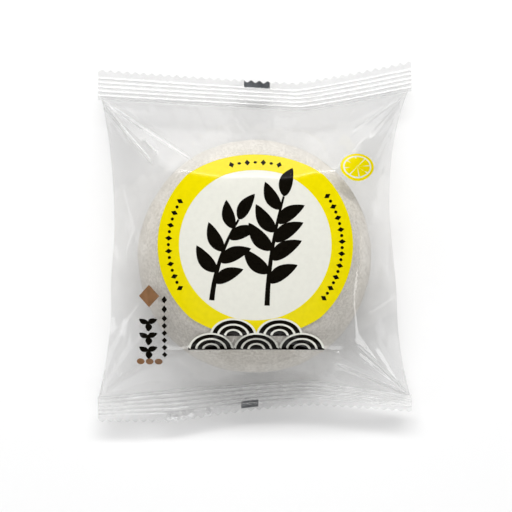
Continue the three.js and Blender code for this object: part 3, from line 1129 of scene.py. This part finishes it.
disc = [circle(RING_X, RING_Y, 21.8, 120)]
ring = [circle(RING_X, RING_Y, 27.5, 150), circle(RING_X, RING_Y, 21.4, 120)]
ring_marks = arc_marks(150, 210, 15, 2.1) + arc_marks(-38, 34, 19, 2.1) + arc_marks(74, 106, 7, 2.3)
sprigs = sprig(3.5, -18.0, bend=-14, length=31.0, heading=88, leaves=8, size=9.6)
sprigs += sprig(-12.0, -16.5, bend=-26, length=24.0, heading=84, leaves=6, size=9.0)
back_hills, back_bands = wave_row((-6.0, 7.0), -28.2, 6.6)
front_hills, front_bands = wave_row((-12.3, 0.5, 13.3), -33.4, 6.4)
tan_dots = [[circle(-32.4 + 2.6 * k, -38.0, 1.15, 16)] for k in range(3)]

PRINTS = [
    ("print_disc", [disc], "white", 0.03, 1.1),
    ("print_ring", [ring], "yellow", 0.06, 1.0),
    ("print_ring_marks", ring_marks, "black", 0.09, 0.8),
    ("print_sprigs", sprigs, "black", 0.07, 0.8),
    ("print_waves_back", back_hills, "black", 0.10, 0.8),
    ("print_bands_back", back_bands, "white", 0.13, 0.6),
    ("print_waves_front", front_hills, "black", 0.17, 0.8),
    ("print_bands_front", front_bands, "white", 0.21, 0.6),
    ("print_slice", [[circle(*SLICE, 4.9, 48)]], "yellow", 0.04, 0.8),
    ("print_slice_spokes", slice_lines(), "white", 0.08, 0.7),
    ("print_lozenge", [[lozenge(-29.8, -15.4, 3.0, 3.2)]], "tan", 0.05, 0.8),
    ("print_text_marks", side_marks(), "black", 0.05, 0.8),
    ("print_tan_dots", tan_dots, "tan", 0.05, 0.8),
]
for name, shapes, ink, lift, spacing in PRINTS:
    finish_piece(print_piece(name, shapes, bag_tree, lift, spacing), inks[ink])

# Registration marks between the layers of the seals: x from and to, and two shares of the depth
EYE_MARKS = {"top": (-3.1, 4.4, -0.1, 0.264), "bottom": (-3.9, 1.1, 0.10, 0.38)}
EYE_COLUMNS, EYE_ROWS = 30, 14
EYE_MARGIN = 0.02


def eye_mark(end):
    left, right, outer, inner = EYE_MARKS[end]
    points = []
    for i in range(EYE_COLUMNS + 1):
        x = lerp(left, right, i / EYE_COLUMNS)
        edge = max(outer, tooth_share(x) + EYE_MARGIN)
        points += [seal_skin(end, x, lerp(edge, inner, j / EYE_ROWS)) for j in range(EYE_ROWS + 1)]
    return make_mesh(f"eye_mark_{end}", points, grid_faces(EYE_COLUMNS, EYE_ROWS))


for end in ENDS:
    finish_piece(eye_mark(end), inks["mark"])

# Floor

FLOOR_HALF = 900
corners = [[x * FLOOR_HALF, y * FLOOR_HALF, 0] for x, y in ((-1, -1), (1, -1), (1, 1), (-1, 1))]
floor = make_mesh("floor", corners, [(0, 1, 2, 3)])
floor.data.materials.append(floor_material())

# Lights: a wide key lamp behind the upper seal, fill lamps, and lamps that only gleam in the film

LIGHT_TARGET = (0, 0, 10)
WORLD_STRENGTH = 0.012


def softbox(name, place, width, height, power, mirrored=False):
    """A rectangular lamp aimed at the pack; a mirrored one shows only as a gleam in the film."""
    light = bpy.data.lights.new(name, "AREA")
    light.shape = "RECTANGLE"
    light.size, light.size_y = width * MM, height * MM
    light.energy = power
    box = bpy.data.objects.new(name, light)
    bpy.context.scene.collection.objects.link(box)
    box.location = Vector(place) * MM
    way = Vector(LIGHT_TARGET) * MM - box.location
    box.rotation_euler = way.to_track_quat("-Z", "Y").to_euler()
    box.visible_glossy = mirrored
    box.visible_diffuse = not mirrored


softbox("key_light", (0, 1100, 1060), 1500, 200, 23.2)
softbox("sky_light", (0, -150, 1450), 900, 900, 6.8)
softbox("front_light", (0, -1050, 800), 1500, 500, 0.6)
softbox("left_light", (-900, -100, 700), 700, 500, 2.5)
softbox("right_light", (860, -480, 740), 700, 500, 3.0)
softbox("broad_gleam", (0, 1100, 1060), 1500, 420, 3.2, mirrored=True)
softbox("strip_gleam", (0, 1080, 1040), 1400, 110, 3.2, mirrored=True)
softbox("back_gleam", (0, 970, 290), 1800, 840, 7.4, mirrored=True)
softbox("front_gleam", (0, -1000, 250), 1800, 500, 1.2, mirrored=True)
softbox("seal_gleam", (0, -920, 1000), 1500, 320, 4.2, mirrored=True)
softbox("right_fold_gleam", (1050, -290, 330), 400, 300, 1.2, mirrored=True)
softbox("front_fold_gleam", (400, -1040, 500), 130, 130, 0.4, mirrored=True)

scene = bpy.context.scene
world = bpy.data.worlds.new("studio")
world.use_nodes = True
background = world.node_tree.nodes["Background"]
background.inputs["Color"].default_value = (1, 1, 1, 1)
background.inputs["Strength"].default_value = WORLD_STRENGTH
scene.world = world

# Camera: the point straight below it, its distance, and the width that it sees

VIEW_X, VIEW_Y, VIEW_Z = 0.4, -4.1, 10.0
VIEW_DISTANCE = 600.0
VIEW_FIELD = 147.5

camera_data = bpy.data.cameras.new("camera")
camera_data.sensor_width = 36
camera_data.lens = camera_data.sensor_width * VIEW_DISTANCE / VIEW_FIELD
camera_data.clip_start = 0.01
camera = bpy.data.objects.new("camera", camera_data)
scene.collection.objects.link(camera)
camera.location = Vector((VIEW_X, VIEW_Y, VIEW_Z + VIEW_DISTANCE)) * MM
scene.camera = camera
scene.view_settings.view_transform = "Standard"
